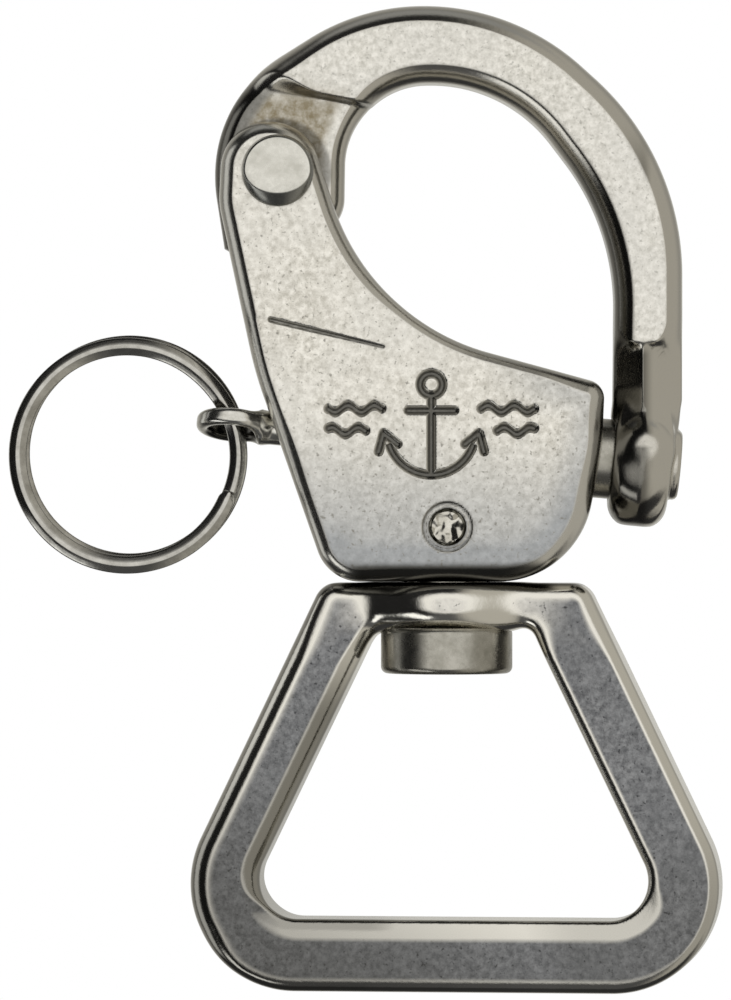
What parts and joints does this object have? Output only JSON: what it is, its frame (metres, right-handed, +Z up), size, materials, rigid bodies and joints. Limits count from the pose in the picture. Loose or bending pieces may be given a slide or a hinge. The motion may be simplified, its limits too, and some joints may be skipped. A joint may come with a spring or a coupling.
{
  "type": "swivel snap shackle",
  "caption": "Cast steel snap shackle: curved hinged jaw locked by a spring plunger with a pull ring, on a swivelling triangular bail for webbing",
  "frame": {"origin": "on the swivel axis, at the middle of the bail's inner seat, where the webbing bears", "axes": "+Z up the swivel axis towards the jaw's crown, +X from the hinge towards the jaw's tip, -Y towards the front face"},
  "size_m": [0.0716, 0.0156, 0.0988],
  "materials": {
    "cast_body": "tumbled investment casting, satin with fine pits",
    "cast_jaw": "tumbled investment casting, satin with polished edges",
    "turned_steel": "turned, lightly worn",
    "polished_steel": "polished, lightly worn",
    "spring_wire": "drawn spring wire",
    "cast_bail": "cast, satin faces and polished rims"
  },
  "bodies": {
    "shackle": {"shackle_body": "cast_body", "hinge_pin": "turned_steel", "swivel_stud": "turned_steel", "cross_pin": "turned_steel", "plunger_spring": "spring_wire"},
    "gate": {"jaw": "cast_jaw"},
    "bolt": {"plunger": "turned_steel", "pull_eye": "polished_steel"},
    "ring": {"split_ring": "polished_steel"},
    "webbing_bail": {"bail": "cast_bail"}
  },
  "joints": [
    {"name": "jaw_pivot", "type": "hinge", "parent": "shackle", "child": "gate", "pos_m": [-0.0169, 0, 0.0748], "axis": [0, -1, 0], "range_deg": [0, 130]},
    {"name": "plunger_slide", "type": "slide", "parent": "shackle", "child": "bolt", "axis": [-0.9959, 0, 0.0906], "range_m": [0, 0.0055], "stiffness_N_per_m": 900, "springref_m": -0.006, "deforming": ["plunger_spring"]},
    {"name": "swivel", "type": "hinge", "parent": "shackle", "child": "webbing_bail", "pos_m": [0, 0, 0.0315], "axis": [0, 0, 1], "continuous": true},
    {"name": "ring_swing", "type": "hinge", "parent": "bolt", "child": "ring", "pos_m": [-0.02162, 0, 0.0495], "axis": [0, 0, 1], "range_deg": [-75, 75]}
  ]
}
